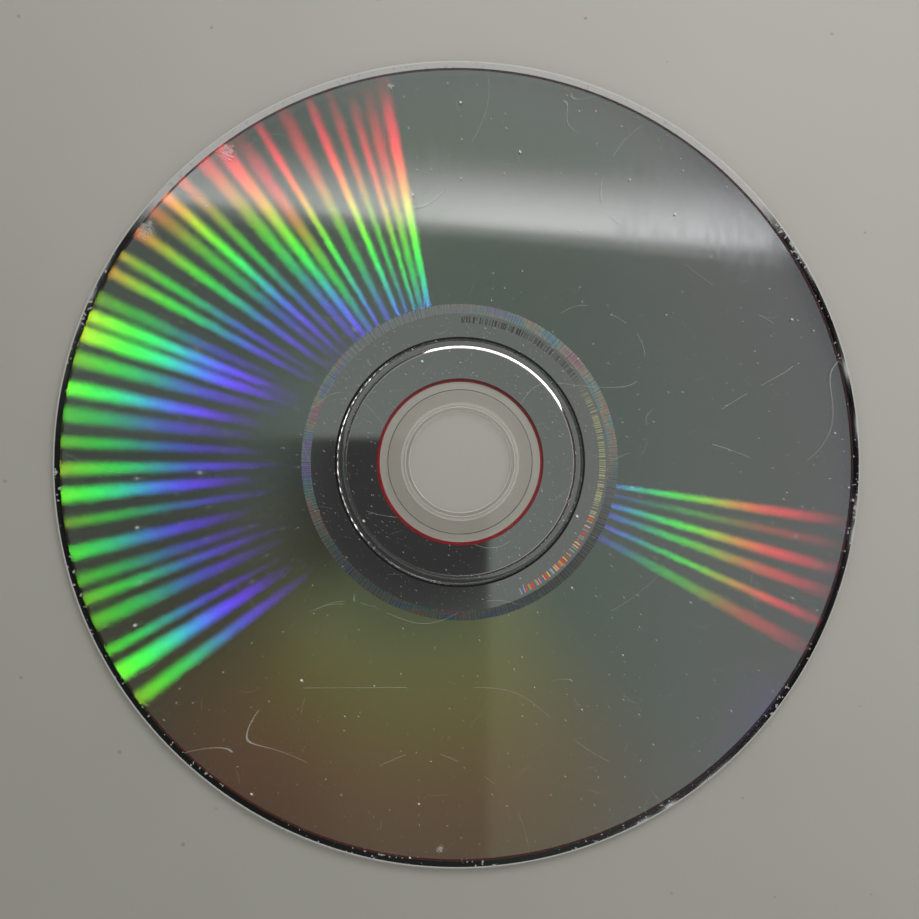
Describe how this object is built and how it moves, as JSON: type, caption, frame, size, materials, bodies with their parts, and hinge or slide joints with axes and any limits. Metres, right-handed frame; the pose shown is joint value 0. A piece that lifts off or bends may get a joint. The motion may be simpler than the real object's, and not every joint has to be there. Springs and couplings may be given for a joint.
{
  "type": "optical disc",
  "caption": "Round optical disc: two clear plates bonded over a mirror film, with a centre hole, a raised stacking ring and a printed, varnished label side.",
  "frame": {"origin": "disc axis at the label face, which is the varnish that the disc rests on", "axes": "+Z along the disc axis, out of the read side; the disc is round, so +X and +Y are any two radii"},
  "size_m": [0.12, 0.12, 0.0014],
  "materials": {
    "read_plate": "gloss",
    "mirror_film": "gloss",
    "resin": "gloss",
    "label_plate": "gloss",
    "red_ink": "gloss",
    "pale_ink": "gloss",
    "varnish": "gloss"
  },
  "bodies": {
    "root": {"read_side_plate": "read_plate", "reflective_film": "mirror_film", "bonding_resin": "resin", "label_side_plate": "label_plate", "label_flood_ink": "red_ink", "label_ring_ink": "pale_ink", "label_varnish": "varnish"}
  },
  "joints": []
}
